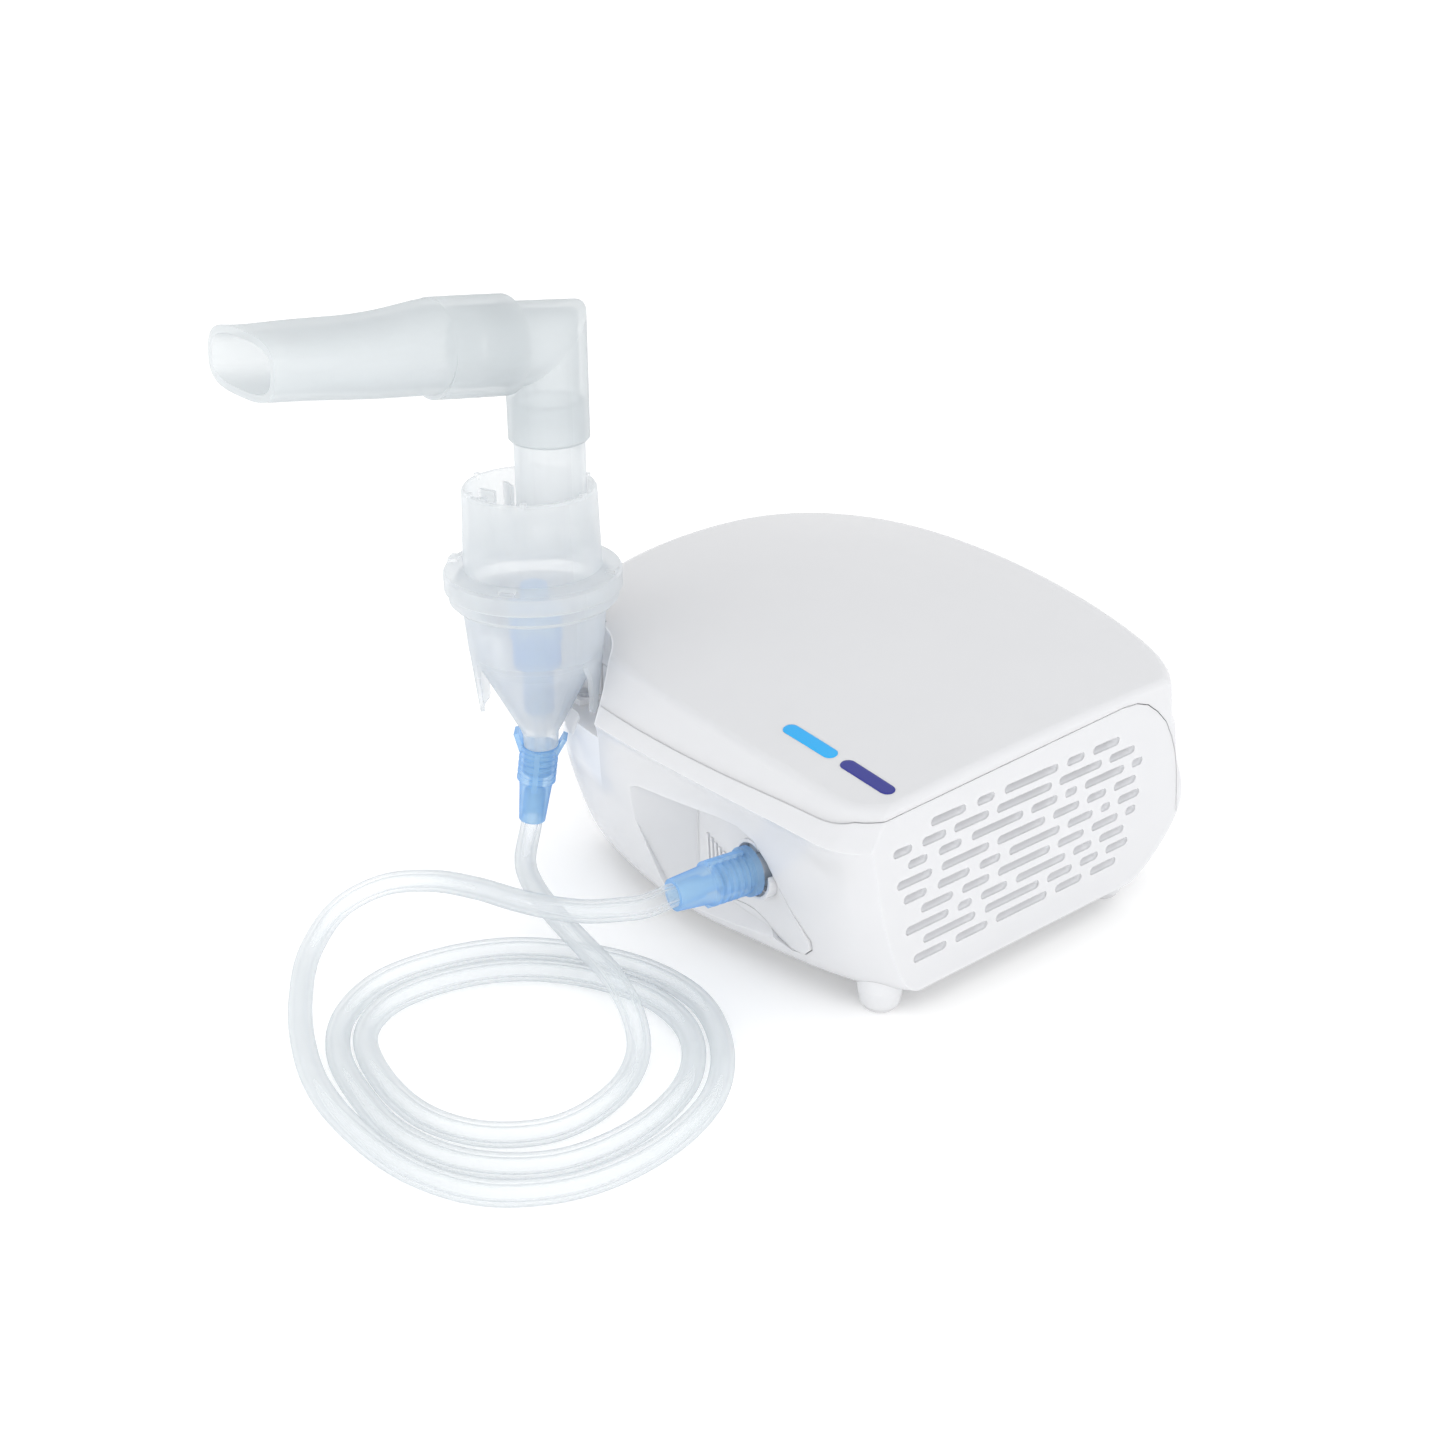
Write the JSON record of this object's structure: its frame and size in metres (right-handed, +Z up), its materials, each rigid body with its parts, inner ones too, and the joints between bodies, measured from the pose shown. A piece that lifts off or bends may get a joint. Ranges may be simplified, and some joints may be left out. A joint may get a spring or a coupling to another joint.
{
  "type": "tabletop nebulizer",
  "caption": "Tabletop compressor nebulizer: domed white housing with a slotted grille end, docked clear medicine cup with elbow and mouthpiece, and a coiled air tube.",
  "frame": {"origin": "centre of the compressor's underside, 8 mm above the table its feet stand on", "axes": "+Z up, +X towards the ventilation grille end, -Y towards the front face with the air outlet"},
  "size_m": [0.1778, 0.2839, 0.1942],
  "materials": {
    "shell_white": "glossy",
    "foot_plastic": "matte",
    "pad_rubber": "matte",
    "clear_frosted": "translucent, frosted",
    "clear_blue": "translucent blue",
    "tube_pvc": "clear, soft",
    "dark_plastic": "matte",
    "felt": "felt",
    "steel": "brushed",
    "laminations": "stacked laminations",
    "copper_coil": "enamelled wire, taped",
    "cast_alloy": "as cast",
    "grey_plastic": "matte",
    "black_rubber": "matte",
    "brass_pins": "plated"
  },
  "bodies": {
    "compressor": {"top_cover": "shell_white", "lower_housing": "shell_white", "base_plate": "foot_plastic", "feet": "foot_plastic", "foot_pads": "pad_rubber", "housing_screws": "steel", "filter_felt": "felt", "outlet_port": "shell_white", "air_tube_coil": "tube_pvc", "nebulizer_holder": "shell_white", "holder_screws": "steel", "switch_frame": "dark_plastic", "power_inlet": "dark_plastic", "inlet_pins": "brass_pins", "motor_chassis": "steel", "vibration_mounts": "black_rubber", "shaft_bearings": "steel", "motor_stator": "laminations", "stator_coil": "copper_coil", "pump_cylinder": "cast_alloy", "valve_plate": "cast_alloy", "cylinder_head": "cast_alloy", "valve_reeds": "steel", "head_screws": "steel", "discharge_hose": "black_rubber"},
    "rotor": {"motor_shaft": "steel", "rotor_core": "laminations", "cooling_fan": "grey_plastic", "crank_counterweight": "cast_alloy", "crank_eccentric": "steel"},
    "piston_rod": {"rod_bearing": "steel", "connecting_rod": "cast_alloy", "piston_seal": "black_rubber", "piston_clamp": "cast_alloy"},
    "rocker": {"power_rocker": "dark_plastic"},
    "filter_door": {"filter_cover": "shell_white"},
    "outlet_plug": {"outlet_connector": "clear_blue", "air_tube_outlet_end": "tube_pvc"},
    "nebulizer": {"nebulizer_cup": "clear_frosted", "cup_connector": "clear_blue", "air_tube_cup_end": "tube_pvc"},
    "baffle_insert": {"baffle": "clear_blue"},
    "cap": {"nebulizer_cap": "clear_frosted"},
    "elbow": {"elbow": "clear_frosted"},
    "mouthpiece": {"mouthpiece": "clear_frosted"}
  },
  "joints": [
    {"name": "crank_spin", "type": "hinge", "parent": "compressor", "child": "rotor", "pos_m": [0, 0.006, 0.03], "axis": [1, 0, 0], "continuous": true},
    {"name": "rod_orbit", "type": "hinge", "parent": "rotor", "child": "piston_rod", "pos_m": [-0.018, 0.006, 0.032], "axis": [1, 0, 0], "continuous": true},
    {"name": "power_rocker_tilt", "type": "hinge", "parent": "compressor", "child": "rocker", "pos_m": [-0.0812, 0.016, 0.0255], "axis": [0, 0, 1], "range_deg": [0, 12]},
    {"name": "filter_cover_slide", "type": "slide", "parent": "compressor", "child": "filter_door", "axis": [-0.128, -0.9918, 0], "range_m": [0, 0.022]},
    {"name": "outlet_plug_pull", "type": "slide", "parent": "compressor", "child": "outlet_plug", "axis": [-0.128, -0.9918, 0], "range_m": [0, 0.015]},
    {"name": "nebulizer_lift", "type": "slide", "parent": "compressor", "child": "nebulizer", "axis": [0, 0, 1], "range_m": [0, 0.06]},
    {"name": "cap_twist", "type": "hinge", "parent": "nebulizer", "child": "baffle_insert", "pos_m": [-0.057, -0.08, 0.089], "axis": [0, 0, 1], "range_deg": [0, 30]},
    {"name": "cap_lift", "type": "slide", "parent": "baffle_insert", "child": "cap", "axis": [0, 0, 1], "range_m": [0, 0.04]},
    {"name": "elbow_swivel", "type": "hinge", "parent": "cap", "child": "elbow", "pos_m": [-0.057, -0.072, 0.144], "axis": [0, 0, 1], "continuous": true},
    {"name": "mouthpiece_turn", "type": "hinge", "parent": "elbow", "child": "mouthpiece", "pos_m": [-0.057, -0.072, 0.1675], "axis": [0, -0.9936, 0.1132], "continuous": true}
  ],
  "couplings": [
    {"joint": "rod_orbit", "follows": "crank_spin", "ratio": -1}
  ]
}
